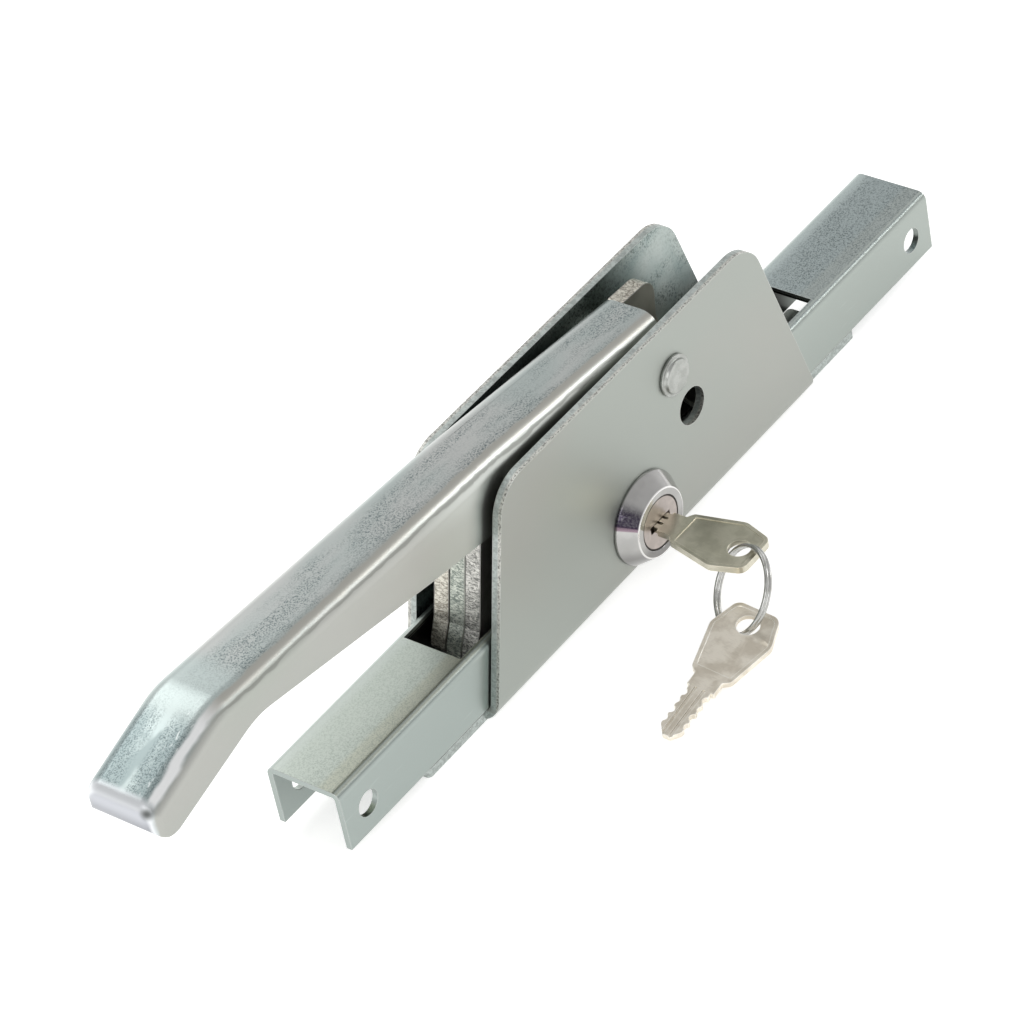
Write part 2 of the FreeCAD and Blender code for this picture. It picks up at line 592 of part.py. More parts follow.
def handle_rivet(place):
    x, z = from_pivot(place)
    skin = handle_half(x - RIVET_HEAD_D / 2)
    shape = rod(x, z, RIVET_D, -skin, skin)
    for way in (-1, 1):
        head = Part.makeCone(RIVET_HEAD_D / 2, RIVET_HEAD_D / 2 - RIVET_HEAD_H / 2, RIVET_HEAD_H,
                             V(x, way * skin, z), V(0, way, 0))
        shape = shape.fuse(head)
    return shape


def rosette():
    """Conical collar of the cylinder, on the front cheek."""
    foot = -CHEEK_OUT - ROSETTE_FOOT
    cone = Part.makeCone(ROSETTE_D / 2, ROSETTE_RIM_D / 2, ROSETTE_H - ROSETTE_FOOT,
                         V(LOCK_X, foot, LOCK_Z), V(0, -1, 0))
    shape = cone.fuse(rod(LOCK_X, LOCK_Z, ROSETTE_D, foot, -CHEEK_OUT)).removeSplitter()
    mouth = rod(LOCK_X, LOCK_Z, PLUG_HEAD_D + 4 * RUN_GAP, -CHEEK_OUT - ROSETTE_H - 1, -CHEEK_OUT + 1)
    seat = rod(LOCK_X, LOCK_Z, HOUSING_D + 2 * RUN_GAP, HOUSING_FRONT, -CHEEK_OUT + 1)
    return shape.cut(mouth).cut(seat)


def cylinder_housing():
    shape = rod(LOCK_X, LOCK_Z, HOUSING_D, HOUSING_FRONT, HOUSING_REAR)
    return shape.cut(rod(LOCK_X, LOCK_Z, PLUG_D + 2 * RUN_GAP, HOUSING_FRONT, HOUSING_REAR))


def cylinder_nut():
    """Hexagon nut behind the front cheek, flats up and down."""
    corner_r = NUT_FLATS / 2 / math.cos(math.radians(30))
    points = [V(LOCK_X + corner_r * math.cos(math.radians(60 * i)), -CHEEK_IN,
                LOCK_Z + corner_r * math.sin(math.radians(60 * i))) for i in range(7)]
    hexagon = Part.Face(Part.makePolygon(points)).extrude(V(0, NUT_H, 0))
    return hexagon.cut(rod(LOCK_X, LOCK_Z, HOUSING_D + 4 * RUN_GAP, -CHEEK_IN, -CHEEK_IN + NUT_H))


def plug():
    """Turning core of the cylinder with the keyway."""
    shape = rod(LOCK_X, LOCK_Z, PLUG_HEAD_D, PLUG_FRONT, HOUSING_FRONT - SIDE_GAP)
    shape = shape.fuse(rod(LOCK_X, LOCK_Z, PLUG_D, HOUSING_FRONT - SIDE_GAP, HOUSING_REAR))
    shape = shape.fuse(rod(LOCK_X, LOCK_Z, PLUG_BOSS_D, HOUSING_REAR, CAM_FRONT)).removeSplitter()
    slot = box(LOCK_X - KEYWAY_W / 2, LOCK_X + KEYWAY_W / 2, PLUG_FRONT, KEY_HOLE_Y + KEY_TIP + 1.0,
               LOCK_Z - KEYWAY_H / 2, LOCK_Z + KEYWAY_H / 2)
    shape = shape.cut(slot)
    return shape.cut(rod(LOCK_X, LOCK_Z, SCREW_D, KEY_HOLE_Y + KEY_TIP + 1.5, CAM_FRONT))


def lock_cam():
    """Points left when open and turns up in front of the right drive plate's tooth when locked."""
    back = CAM_FRONT + CAM_THICK
    hub = rod(LOCK_X, LOCK_Z, CAM_HUB_D, CAM_FRONT, back)
    tip_x = LOCK_X - CAM_LENGTH + CAM_TIP_D / 2
    tip = rod(tip_x, LOCK_Z, CAM_TIP_D, CAM_FRONT, back)
    bar = box(tip_x, LOCK_X, CAM_FRONT, back, LOCK_Z - CAM_TIP_D / 2, LOCK_Z + CAM_TIP_D / 2)
    shape = hub.fuse(tip).fuse(bar).removeSplitter()
    return shape.cut(rod(LOCK_X, LOCK_Z, SCREW_D, CAM_FRONT, back))


def cam_screw():
    seat = CAM_FRONT + CAM_THICK
    head = rod(LOCK_X, LOCK_Z, SCREW_HEAD_D, seat, seat + SCREW_HEAD_H)
    shank = rod(LOCK_X, LOCK_Z, SCREW_D, KEY_HOLE_Y + KEY_TIP + 1.5, seat)
    return head.fuse(shank).removeSplitter()


def key_blank():
    """Key lying in the XY plane, hole at the origin, tip towards +X, thickness centred on Z."""
    half = [(-BOW_BACK, BOW_BACK_HALF, 3.0), (4.0, BOW_HALF, 4.0), (BOW_FRONT, BOW_NECK_HALF, 1.5),
            (BOW_FRONT + 1.5, NECK_HALF, 0), (NECK_END, NECK_HALF, 0), (NECK_END, BLADE_HALF, 0),
            (KEY_TIP - 3.0, BLADE_HALF, 1.0), (KEY_TIP, 1.2, 1.0)]
    other = [(u, -v, r) for u, v, r in reversed(half)]
    shape = plan_prism(half + other, -KEY_THICK / 2, KEY_THICK / 2)
    shape = shape.cut(Part.makeCylinder(KEY_HOLE_D / 2, KEY_THICK, V(0, 0, -KEY_THICK / 2)))
    for i, depth in enumerate(CUTS):
        u = NECK_END + 3.0 + i * CUT_PITCH
        for way in (-1, 1):
            middle = V(u, way * (BLADE_HALF + CUT_R - depth), -KEY_THICK / 2)
            shape = shape.cut(Part.makeCylinder(CUT_R, KEY_THICK, middle))
    for v in (-GROOVE_OFF, GROOVE_OFF):
        shape = shape.cut(box(NECK_END, KEY_TIP, v - GROOVE, v + GROOVE,
                              KEY_THICK / 2 - GROOVE, KEY_THICK / 2))
    bow = half[:3] + [(u, -v, r) for u, v, r in reversed(half[:3])]
    for z in (-KEY_THICK / 2, KEY_THICK / 2 - BORDER_H):
        floor = rounded(bow, lambda u, v: V(u, v, z)).makeOffset2D(-BORDER)
        shape = shape.cut(floor.extrude(V(0, 0, BORDER_H)))
    return shape


def key():
    shape = key_blank()
    shape.rotate(V(0, 0, 0), V(0, 0, 1), 90)
    shape.translate(KEY_HOLE)
    return shape


def spare_key():
    shape = key_blank()
    shape.rotate(V(0, 0, 0), V(1, 0, 0), SPARE_ROLL)
    shape.rotate(V(0, 0, 0), V(0, 1, 0), SPARE_TILT)
    shape.rotate(V(0, 0, 0), V(0, 0, 1), SPARE_TURN)
    shape.translate(KEY_HOLE - V(SPARE_LEFT, SPARE_OUT, SPARE_DROP))
    return shape


def key_ring():
    """Split ring: two turns of wire pressed together."""
    axis = V(RING_AXIS).normalize()
    side = axis * (TURN_PITCH / 2)
    middle = KEY_HOLE - V(RING_LEFT, RING_OUT, RING_DROP)
    front = Part.makeTorus(RING_R, WIRE_R, middle - side, axis)
    return front.fuse(Part.makeTorus(RING_R, WIRE_R, middle + side, axis))


save(casing(), "casing")
save(pivot_rivet(), "pivot_rivet")
save(pivot_washer(-1), "pivot_washer_front")
save(pivot_washer(1), "pivot_washer_rear")
save(sleeve(PIVOT_X, PIVOT_Z, SLEEVE_D, PIVOT_D + 2 * SIDE_GAP), "pivot_sleeve")
save(handle(), "handle")
save(core_plate_front(), "core_plate_front")
save(core_plate_rear(), "core_plate_rear")
save(handle_rivet(INNER_RIVET), "handle_rivet_inner")
save(handle_rivet(OUTER_RIVET), "handle_rivet_outer")
save(sleeve(*from_pivot(INNER_RIVET), RIVET_SLEEVE_D, RIVET_D), "rivet_sleeve_inner")
save(sleeve(*from_pivot(OUTER_RIVET), RIVET_SLEEVE_D, RIVET_D), "rivet_sleeve_outer")
save(rod(CRANK_X, CRANK_Z, PIN_D, -CORE_OUT, CORE_OUT), "crank_pin")
save(cross_drill(channel(LEFT_WEB_CUT, LEFT_WEB, LEFT_BODY_END + LEFT_LEG), LEFT_CROSS), "left_channel")
save(left_drive_plate(), "left_drive_plate")
save(rod(FOLLOW_X, FOLLOW_Z, PIN_D, -PLATE_HALF, CORE_OUT), "left_follower_pin")
save(rod(LEFT_CROSS[0], CROSS_Z, CROSS_D, -CH_WIDTH / 2, CH_WIDTH / 2), "left_cross_pin_outer")
save(rod(LEFT_CROSS[1], CROSS_Z, CROSS_D, -CH_WIDTH / 2, CH_WIDTH / 2), "left_cross_pin_inner")
save(cross_drill(channel(RIGHT_WEB_CUT, RIGHT_WEB, RIGHT_BODY_END - RIGHT_LEG), RIGHT_CROSS), "right_channel")
save(right_drive_plate(), "right_drive_plate")
save(rod(RIGHT_CROSS[0], CROSS_Z, CROSS_D, -CH_WIDTH / 2, CH_WIDTH / 2), "right_cross_pin_inner")
save(rod(RIGHT_CROSS[1], CROSS_Z, CROSS_D, -CH_WIDTH / 2, CH_WIDTH / 2), "right_cross_pin_outer")
save(rosette(), "rosette")
save(cylinder_housing(), "cylinder_housing")
save(cylinder_nut(), "cylinder_nut")
save(plug(), "plug")
save(lock_cam(), "lock_cam")
save(cam_screw(), "cam_screw")
save(key(), "key")
save(key_ring(), "key_ring")
save(spare_key(), "spare_key")
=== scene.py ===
"""Dresses the lever lock: zinc plated steel, a chrome rosette and nickel silver keys on a white sweep."""
import json
import math

import bmesh
import bpy
from mathutils import Matrix, Vector


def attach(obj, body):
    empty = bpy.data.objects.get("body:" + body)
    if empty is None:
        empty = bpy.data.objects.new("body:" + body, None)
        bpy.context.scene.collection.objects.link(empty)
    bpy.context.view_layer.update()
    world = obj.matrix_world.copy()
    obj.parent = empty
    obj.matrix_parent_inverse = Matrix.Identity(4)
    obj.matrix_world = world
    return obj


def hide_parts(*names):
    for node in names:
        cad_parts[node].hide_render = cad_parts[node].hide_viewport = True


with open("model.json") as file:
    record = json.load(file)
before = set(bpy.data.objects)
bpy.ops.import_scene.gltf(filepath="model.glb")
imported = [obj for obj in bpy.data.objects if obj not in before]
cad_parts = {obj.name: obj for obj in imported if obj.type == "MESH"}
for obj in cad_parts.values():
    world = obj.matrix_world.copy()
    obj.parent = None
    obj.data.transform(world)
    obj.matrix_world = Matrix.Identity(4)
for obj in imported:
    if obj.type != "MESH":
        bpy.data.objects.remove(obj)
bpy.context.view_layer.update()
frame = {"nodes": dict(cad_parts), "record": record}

MM = 0.001
WHITE = (1.0, 1.0, 1.0)

# camera that matches the photograph
CAMERA_AT = Vector((-0.7698, -0.7086, 0.8842))
IMAGE_RIGHT = Vector((0.5878, -0.7931, -0.1595))
IMAGE_UP = Vector((0.5917, 0.2868, 0.7530))
LENS = 163.1
SENSOR = 36.0

# soft studio: lamps as name, direction, distance, size and power
LAMPS = (("front_key", (0.62, -0.60, 0.50), 1.7, (0.5, 0.22), 2.6),
         ("left_fill", (-0.8, -0.3, 0.6), 1.8, (1.2, 1.0), 5.0),
         ("rear_top", (0.1, 0.7, 0.8), 1.8, (1.2, 0.8), 5.0))
AMBIENT = 0.78              # light from all round
CEILING = 0.66              # of the white walls, as metal reflects it
WALL_TOP, CEILING_START = 0.05, 0.65
FLOOR_HALF = 3.0
FLOOR_COLOR = (0.80, 0.80, 0.79)
FLOOR_GLOW = 0.58           # lifts the floor to near white for the camera and in reflections

# edge softening
SHEET_EDGE = 0.3 * MM       # sheared edges of sheet and plate
TURNED_EDGE = 0.25 * MM
KEY_EDGE = 0.15 * MM
EDGE_STEPS = 2
SHARP = math.radians(32)    # edges that turn by more than this are softened
FLAT = math.radians(0.5)    # faces that turn by less than this are one face
SAME_POINT = 0.002 * MM

# where things lie, metres in the shared frame
STRIP_TOP = 3.0 * MM        # of the base strip
CHEEK_IN = 13.5 * MM        # the cheeks' inner faces
LEG_IN = 11.0 * MM          # inner faces of the channels' legs
LEG_FOOT = 4.35 * MM
WEB_UNDER = 23.35 * MM      # underside of the channels' webs
PAINTED_SHADE_FROM = 100 * MM        # painted shade inside the channels, within this distance of the middle
OPEN_END = 20 * MM          # of the handle
OPEN_WALL = 8.0 * MM        # from the middle to the handle's inner wall at its open end
GRIP_WALL = 9.5 * MM        # and at the grip
GRIP_START = -172 * MM      # the grip's bend
PAINTED_LIGHT_FROM, PAINTED_LIGHT_TO = -95 * MM, -62 * MM   # painted light: the handle's rear side is painted lighter towards the casing
TIP = -209.5 * MM
LIP = 4.5 * MM              # width of the rounded lip over the tip
TIP_LEVEL = 74.4 * MM       # top of the tip
WELD_SPOT = Vector((-207.8, -9.6, 72.6)) * MM
PLATE_EDGES = {"core_plate_rear": (2.9 * MM, 8.3 * MM), "core_plate_front": (-8.3 * MM, -2.9 * MM),
               "left_drive_plate": (-2.7 * MM, 2.7 * MM), "right_drive_plate": (-2.7 * MM, 2.7 * MM)}
LOCK_AXIS = Vector((-5.6, 0.0, 18.3)) * MM
PAINTED_REFLECTION_START = 2.05        # the painted dark reflection on the rosette's cone, as angles round the lock's axis
PAINTED_REFLECTION_END = 2.66
RIM_R = 10.9 * MM           # outer edge of the rosette's flat rim
PLUG_R = 8.5 * MM


class Tree:
    """Short way to write the node tree of a material or world."""

    def __init__(self, owner):
        owner.use_nodes = True
        self.tree = owner.node_tree
        self.tree.nodes.clear()

    def node(self, kind, **settings):
        made = self.tree.nodes.new(kind)
        for key, value in settings.items():
            setattr(made, key, value)
        return made

    def put(self, socket, value):
        if isinstance(value, bpy.types.NodeSocket):
            self.tree.links.new(value, socket)
        elif isinstance(value, tuple) and len(value) == 3 and socket.type == "RGBA":
            socket.default_value = (*value, 1.0)
        else:
            socket.default_value = value

    def part(self, vector, axis):
        made = self.node("ShaderNodeSeparateXYZ")
        self.put(made.inputs[0], vector)
        return made.outputs["XYZ".index(axis)]

    def math(self, operation, a, b=0.0):
        made = self.node("ShaderNodeMath", operation=operation)
        self.put(made.inputs[0], a)
        self.put(made.inputs[1], b)
        return made.outputs[0]

    def size_of(self, value):
        return self.math("ABSOLUTE", value)

    def times(self, *values):
        product = values[0]
        for value in values[1:]:
            product = self.math("MULTIPLY", product, value)
        return product

    def rest(self, value):
        """1 less the value."""
        return self.math("SUBTRACT", 1.0, value)

    def either(self, a, b):
        return self.math("MAXIMUM", a, b)

    def ramp(self, value, low, high, out_low=0.0, out_high=1.0):
        """Smooth step of value from low to high; low may be the greater."""
        if low > high:
            low, high, out_low, out_high = high, low, out_high, out_low
        made = self.node("ShaderNodeMapRange", interpolation_type="SMOOTHSTEP")
        self.put(made.inputs["Value"], value)
        made.inputs["From Min"].default_value = low
        made.inputs["From Max"].default_value = high
        made.inputs["To Min"].default_value = out_low
        made.inputs["To Max"].default_value = out_high
        return made.outputs[0]

    def between(self, value, low, high, soft):
        """1 from low to high, falling to 0 over soft on both sides."""
        return self.times(self.ramp(value, low - soft, low), self.ramp(value, high + soft, high))

    def white_light(self, kind, strength):
        made = self.node(kind)
        self.put(made.inputs["Color"], WHITE)
        self.put(made.inputs["Strength"], strength)
        return made.outputs[0]

    def choose(self, factor, a, b):
        """Shader a where the factor is 0, b where it is 1."""
        made = self.node("ShaderNodeMixShader")
        for socket, value in zip(made.inputs, (factor, a, b)):
            self.put(socket, value)
        return made.outputs[0]


class Shader(Tree):
    """A piece's material; every coordinate and normal is the object's own, in metres."""

    def __init__(self, name):
        self.material = bpy.data.materials.new(name)
        super().__init__(self.material)
        place = self.node("ShaderNodeTexCoord")
        self.at = place.outputs["Object"]
        self.x, self.y, self.z = (self.part(self.at, axis) for axis in "XYZ")
        self.nx, self.ny, self.nz = (self.part(place.outputs["Normal"], axis) for axis in "XYZ")

    def facing(self, normal, low, high):
        """Smooth step of how squarely a face looks along an axis, to either side."""
        return self.ramp(self.size_of(normal), low, high)

    def noise(self, size, stretch=(1.0, 1.0, 1.0), detail=3.0, rough=0.55, warp=0.0, shift=0.0):
        """Noise whose features are size metres across, longer along an axis by its stretch."""
        mapping = self.node("ShaderNodeMapping")
        self.put(mapping.inputs["Vector"], self.at)
        mapping.inputs["Scale"].default_value = tuple(1.0 / (size * s) for s in stretch)
        mapping.inputs["Location"].default_value = (shift, shift, shift)
        made = self.node("ShaderNodeTexNoise")
        self.put(made.inputs["Vector"], mapping.outputs[0])
        made.inputs["Scale"].default_value = 1.0
        made.inputs["Detail"].default_value = detail
        made.inputs["Roughness"].default_value = rough
        made.inputs["Distortion"].default_value = warp
        return made.outputs[0]

    def near(self, point, radius, soft):
        """1 within the radius of a point."""
        far = self.node("ShaderNodeVectorMath", operation="DISTANCE")
        self.put(far.inputs[0], self.at)
        far.inputs[1].default_value = tuple(point)
        return self.ramp(far.outputs["Value"], radius + soft, radius)

    def blend(self, factor, a, b):
        made = self.node("ShaderNodeMix", data_type="RGBA")
        self.put(made.inputs[0], factor)
        self.put(made.inputs[6], a)
        self.put(made.inputs[7], b)
        return made.outputs[2]

    def coat(self, color, coat, *masks):
        """The color, covered by the coat where all masks are 1."""
        return self.blend(self.times(*masks), color, coat)

    def clouds(self, a, b, size, stretch=(1.0, 1.0, 1.0), thick=0.65, **noise):
        """Soft clouds of b in a."""
        return self.blend(self.ramp(self.noise(size, stretch, **noise), 0.35, thick), a, b)

    def edge(self, radius):
        """0 on flat faces, 1 on edges that are sharper than the radius."""
        bevel = self.node("ShaderNodeBevel", samples=4)
        bevel.inputs["Radius"].default_value = radius
        true = self.node("ShaderNodeNewGeometry")
        dot = self.node("ShaderNodeVectorMath", operation="DOT_PRODUCT")
        self.put(dot.inputs[0], bevel.outputs[0])
        self.put(dot.inputs[1], true.outputs["Normal"])
        return self.ramp(dot.outputs["Value"], 0.98, 0.86)

    def bump(self, height, depth, strength, base=None):
        made = self.node("ShaderNodeBump")
        self.put(made.inputs["Height"], height)
        made.inputs["Distance"].default_value = depth
        made.inputs["Strength"].default_value = strength
        if base is not None:
            self.put(made.inputs["Normal"], base)
        return made.outputs[0]

    def metal(self, color, roughness, normal=None):
        out = self.node("ShaderNodeOutputMaterial")
        made = self.node("ShaderNodeBsdfPrincipled")
        self.put(made.inputs["Base Color"], color)
        self.put(made.inputs["Roughness"], roughness)
        made.inputs["Metallic"].default_value = 1.0
        if normal is not None:
            self.put(made.inputs["Normal"], normal)
        self.tree.links.new(made.outputs[0], out.inputs["Surface"])
        return self.material


def tone(color, factor):
    return tuple(factor * c for c in color)


def speckled(s, light, dark, size, cover):
    """Salt and pepper grain: light metal with dark grains over the given share (0 to 1, may be a mask)."""
    grain = s.noise(size, detail=2.5, rough=0.75)
    dots = s.ramp(grain, 0.55, 0.38)
    return s.coat(light, dark, dots, cover), grain


def sheared(s, light, dark, length=9.0, curl=0.4, shift=0.0):
    """Streaks of a sheared edge, running across the sheet; curl bends them into scales."""
    stretch = (1.0, length, 1.0)
    broad = s.noise(1.1 * MM, stretch, detail=2.0, warp=curl, shift=shift)
    fine = s.noise(0.4 * MM, stretch, detail=2.0, rough=0.7, warp=curl, shift=shift)
    both = s.math("ADD", s.times(broad, 0.6), s.times(fine, 0.4))
    return s.blend(s.ramp(both, 0.40, 0.60), dark, light), both


def rolled(s, color, roughness, grain, cut=None, cut_height=None, wave=0.18):
    """Common end of the sheet finishes: soft waves, fine grain, and edges painted brighter as a highlight.
    """
    # painted highlight along the edges
    color = s.coat(color, (0.80, 0.81, 0.78), s.edge(0.4 * MM), 0.5)
    soft = s.bump(s.noise(26 * MM, detail=1.0), wave * MM, 0.35)
    fine = s.bump(grain, 0.015 * MM, 0.5, soft)
    if cut is not None:
        fine = s.bump(s.times(cut_height, cut), 0.12 * MM, 0.6, fine)
    return s.metal(color, roughness, fine)


def uneven(s, grain, rough, spread):
    """Roughness that the grain raises by up to the spread."""
    return s.ramp(grain, 0.3, 0.7, rough + spread, rough)


def casing_finish():
    """Smooth outer faces, bluish grain inside the cheeks, speckled sheared edges."""
    s = Shader("casing_zinc")
    color = s.clouds((0.372, 0.395, 0.367), (0.383, 0.392, 0.365),
                     45 * MM, (1.5, 1.0, 1.0), 0.68, detail=1.0)
    inner_light = s.clouds((0.30, 0.37, 0.36), (0.44, 0.49, 0.47), 20 * MM, detail=2.0, warp=0.5)
    patchy = s.ramp(s.noise(9 * MM, (2.0, 1.0, 1.0)), 0.40, 0.62, 0.15, 0.8)
    inner, grain = speckled(s, inner_light, (0.10, 0.13, 0.12), 0.6 * MM, patchy)
    is_inner = s.times(s.between(s.y, 0.0, CHEEK_IN + 0.1 * MM, 0.1 * MM),
                       s.ramp(s.z, STRIP_TOP + 0.2 * MM, STRIP_TOP + 1.2 * MM))
    color = s.blend(is_inner, color, inner)
    beside = s.size_of(s.y)
    in_cheek = s.times(s.ramp(beside, CHEEK_IN, CHEEK_IN + 0.3 * MM), s.facing(s.ny, 0.75, 0.45),
                       s.ramp(s.z, STRIP_TOP, STRIP_TOP + 2.0 * MM))
    in_strip = s.times(s.ramp(s.z, STRIP_TOP + 0.1 * MM, STRIP_TOP - 0.1 * MM), s.facing(s.nz, 0.6, 0.3))
    cut = s.either(in_cheek, in_strip)
    streaks, height = sheared(s, (0.50, 0.545, 0.525), (0.34, 0.37, 0.355), 2.0, 0.8)
    burr = s.ramp(beside, CHEEK_IN + 1.6 * MM, CHEEK_IN + 2.2 * MM)
    pitted, _ = speckled(s, (0.62, 0.62, 0.58), (0.12, 0.12, 0.11), 0.7 * MM, s.times(burr, 0.8))
    color = s.blend(cut, color, s.blend(burr, streaks, pitted))
    roughness = s.blend(is_inner, (0.46, 0.46, 0.46), (0.32, 0.32, 0.32))
    return rolled(s, color, roughness, grain, cut, height)


def channel_finish(name, web, speckle, cover, margin, leg, warm):
    """Grainy web with a smooth margin along the rear bend, and smooth legs; painted highlight and shade
    lines on the bends, and painted shade at the legs' feet and inside the casing.
    """
    s = Shader(name)
    patch = s.ramp(s.noise(14 * MM, (2.5, 1.0, 1.0), detail=2.0, warp=0.4), 0.35, 0.65, 0.6, 1.0)
    smooth = s.ramp(s.y, 6.0 * MM, 10.5 * MM)
    tinted = s.between(s.y, -11.0 * MM, -7.0 * MM, 2.5 * MM)
    web_light = s.coat(s.blend(smooth, web, margin), warm, tinted, 0.5)
    share = s.times(patch, cover, s.ramp(smooth, 0.0, 1.0, 1.0, 0.25))
    grainy, grain = speckled(s, web_light, speckle, 0.5 * MM, share)
    scratch = s.ramp(s.noise(0.35 * MM, (40.0, 1.0, 3.0), detail=1.0), 0.68, 0.78, 0.0, 0.35)
    color = s.blend(s.facing(s.nz, 0.6, 0.9), s.blend(scratch, leg, tone(leg, 1.35)), grainy)
    # painted highlight and painted shade lines on the bends, by how the face turns
    turn = s.size_of(s.ny)
    color = s.coat(color, tone(leg, 1.5), s.between(turn, 0.30, 0.42, 0.08), 0.7)
    color = s.coat(color, tone(leg, 0.45), s.between(turn, 0.72, 0.80, 0.06), 0.55)
    # painted shade along the foot of each leg, where it meets the strip
    shaded_foot = s.ramp(s.z, LEG_FOOT + 0.45 * MM, LEG_FOOT - 0.05 * MM)
    color = s.coat(color, (0.10, 0.10, 0.09), shaded_foot, s.ramp(turn, 0.7, 0.4), 0.6)
    # painted shade inside the channels where they lie within the casing
    within_legs = s.ramp(s.size_of(s.y), LEG_IN + 0.2 * MM, LEG_IN + 0.05 * MM)
    in_casing = s.ramp(s.size_of(s.x), PAINTED_SHADE_FROM + 18 * MM, PAINTED_SHADE_FROM)
    under_web = s.ramp(s.z, WEB_UNDER + 0.95 * MM, WEB_UNDER + 0.55 * MM)
    color = s.coat(color, (0.05, 0.05, 0.045), within_legs, in_casing, under_web)
    return rolled(s, color, uneven(s, grain, 0.32, 0.06), grain)


def handle_top(s, on_grip, on_lip):
    """Pale mottled top with a dark speckled band; two bands on the grip, a bend that is less grainy and
    painted paler as a highlight, and a clear lip.
    """
    pale = s.clouds((0.47, 0.52, 0.505), (0.55, 0.565, 0.55), 18 * MM, (2.5, 1.0, 1.0), detail=2.0)
    middle = s.times(s.between(s.y, -2.0 * MM, 3.0 * MM, 3.0 * MM),
                     s.ramp(s.noise(9 * MM, (2.0, 1.0, 1.0)), 0.35, 0.5))
    grip = s.blend(middle, (0.35, 0.42, 0.42), (0.54, 0.62, 0.61))
    # the bend has less grain and is painted paler as a highlight
    bend = s.between(s.x, GRIP_START - 8 * MM, GRIP_START + 4 * MM, 9 * MM)
    light = s.coat(s.blend(on_grip, pale, grip), (0.50, 0.565, 0.55), bend)
    band = s.times(s.between(s.y, -7.0 * MM, 3.0 * MM, 4.0 * MM),
                   s.ramp(s.noise(10 * MM, (3.5, 0.8, 0.8), warp=0.4), 0.38, 0.60, 0.15, 1.0))
    two_bands = s.either(s.between(s.y, 3.0 * MM, 8.0 * MM, 2.5 * MM),
                         s.between(s.y, -8.0 * MM, -2.0 * MM, 2.0 * MM))
    grip_band = s.times(two_bands, s.ramp(s.noise(7 * MM, (2.5, 1.0, 1.0), warp=0.5), 0.30, 0.50, 0.45, 1.0))
    cover = s.times(s.blend(on_grip, band, grip_band), s.facing(s.ny, 0.85, 0.45), s.rest(on_lip),
                    s.rest(s.times(bend, 0.7)), 0.9)
    return speckled(s, light, (0.15, 0.19, 0.195), 0.5 * MM, cover)


def handle_finish():
    """Mottled top, smooth sides, a painted highlight along the front shoulder with a painted shade line
    below it, light streaks on the grip painted as highlight, and painted light on the lip, the end wall and
    the side near the casing.
    """
    s = Shader("handle_zinc")
    on_grip = s.ramp(s.x, GRIP_START, GRIP_START - 12 * MM)
    on_lip = s.ramp(s.x, TIP + LIP, TIP + 0.4 * LIP)
    top, grain = handle_top(s, on_grip, on_lip)
    side = s.clouds((0.385, 0.405, 0.370), (0.41, 0.415, 0.39), 30 * MM, (2.0, 1.0, 1.0), detail=1.0)
    # painted light: the side is painted lighter towards the casing
    side = s.coat(side, (0.54, 0.56, 0.53), s.ramp(s.x, PAINTED_LIGHT_FROM, PAINTED_LIGHT_TO), s.ramp(s.ny, -0.3, -0.7))
    is_side = s.facing(s.ny, 0.55, 0.85)
    color = s.blend(is_side, top, side)
    # light streaks along the grip's front shoulder, painted as highlight
    painted_highlight_streaks = s.ramp(s.noise(0.9 * MM, (45.0, 1.0, 1.0), detail=1.5), 0.60, 0.72)
    color = s.coat(color, (0.78, 0.82, 0.81), painted_highlight_streaks, on_grip,
                   s.between(s.y, -9.5 * MM, -5.0 * MM, 1.5 * MM), 0.6)
    sway = s.ramp(s.noise(6 * MM, (2.0, 1.0, 1.0), detail=2.0), 0.3, 0.7, -0.05, 0.05)
    turn = s.math("ADD", s.ny, sway)
    # painted highlight along the front shoulder, by how the face turns
    painted_highlight = s.blend(on_grip, (0.47, 0.465, 0.425), (0.95, 0.96, 0.96))
    color = s.coat(color, painted_highlight, s.between(turn, -0.62, -0.42, 0.16), s.rest(on_lip))
    # painted shade: a dark line below the shoulder highlight
    painted_shade_line = s.between(turn, -0.86, -0.80, 0.04)
    color = s.coat(color, (0.22, 0.225, 0.205), painted_shade_line, s.rest(on_grip), 0.6)
    # painted highlight on the lip over the tip
    color = s.coat(color, (0.74, 0.76, 0.78), on_lip, s.rest(is_side))
    # end wall: painted shade towards the bottom, painted highlight towards the top
    end_wall_painted_light = s.blend(s.ramp(s.z, TIP_LEVEL - 8 * MM, TIP_LEVEL - 2 * MM),
                       (0.30, 0.31, 0.335), (0.52, 0.535, 0.57))
    color = s.coat(color, end_wall_painted_light, s.ramp(s.nx, -0.80, -0.95))
    wall = s.ramp(s.x, GRIP_START, OPEN_END, GRIP_WALL, OPEN_WALL)
    past_wall = s.math("SUBTRACT", s.size_of(s.y), wall)
    cut = s.times(s.ramp(s.nz, -0.4, -0.8), s.ramp(past_wall, 0.0, 0.4 * MM))
    streaks, height = sheared(s, (0.60, 0.61, 0.57), (0.22, 0.23, 0.20))
    color = s.blend(cut, color, streaks)
    color = s.coat(color, (0.06, 0.065, 0.06), s.near(WELD_SPOT, 0.5 * MM, 2.2 * MM), 0.9)
    return rolled(s, color, 0.33, grain, cut, height, wave=0.3)


